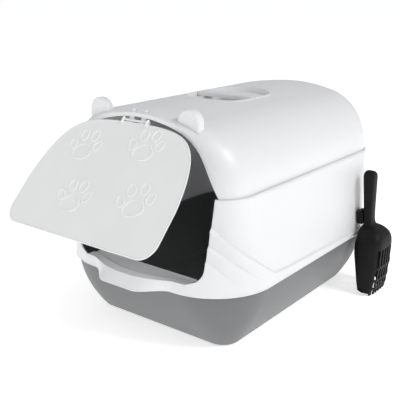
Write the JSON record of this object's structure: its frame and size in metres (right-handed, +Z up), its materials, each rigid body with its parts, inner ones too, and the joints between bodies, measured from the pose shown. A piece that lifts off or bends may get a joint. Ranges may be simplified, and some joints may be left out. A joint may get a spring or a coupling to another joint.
{
  "type": "cat litter box with hood",
  "caption": "Hooded cat litter box: grey tray, white frame with an entry porch, arched hood with ears, clear swing flap, carry handle and a sifting scoop hung on the side.",
  "frame": {"origin": "centre of the tray floor, at the face that rests on the ground", "axes": "+X to the right seen from the entry, -Y out of the entry, +Z up"},
  "size_m": [0.4565, 0.6661, 0.3985],
  "materials": {
    "grey_plastic": "satin moulded",
    "white_plastic": "satin moulded",
    "clear_plastic": "frosted clear",
    "black_plastic": "satin moulded"
  },
  "bodies": {
    "tray": {"tray": "grey_plastic"},
    "lower_frame": {"lower_frame": "white_plastic", "scoop_holder": "black_plastic"},
    "upper_hood": {"upper_hood": "white_plastic", "ear_left": "white_plastic", "ear_right": "white_plastic", "carry_handle": "white_plastic", "hinge_clip_left": "white_plastic", "hinge_clip_right": "white_plastic", "hinge_pin": "white_plastic"},
    "flap": {"entry_flap": "clear_plastic"},
    "scoop": {"scoop": "black_plastic"}
  },
  "joints": [
    {"name": "frame_lift", "type": "slide", "parent": "tray", "child": "lower_frame", "axis": [0, 0, 1], "range_m": [0, 0.12]},
    {"name": "hood_lift", "type": "slide", "parent": "lower_frame", "child": "upper_hood", "axis": [0, 0, 1], "range_m": [0, 0.15]},
    {"name": "flap_hinge", "type": "hinge", "parent": "upper_hood", "child": "flap", "pos_m": [0, -0.248, 0.372], "axis": [1, 0, 0], "range_deg": [-46, 40]},
    {"name": "scoop_lift", "type": "slide", "parent": "lower_frame", "child": "scoop", "axis": [0, 0, 1], "range_m": [0, 0.06]}
  ]
}
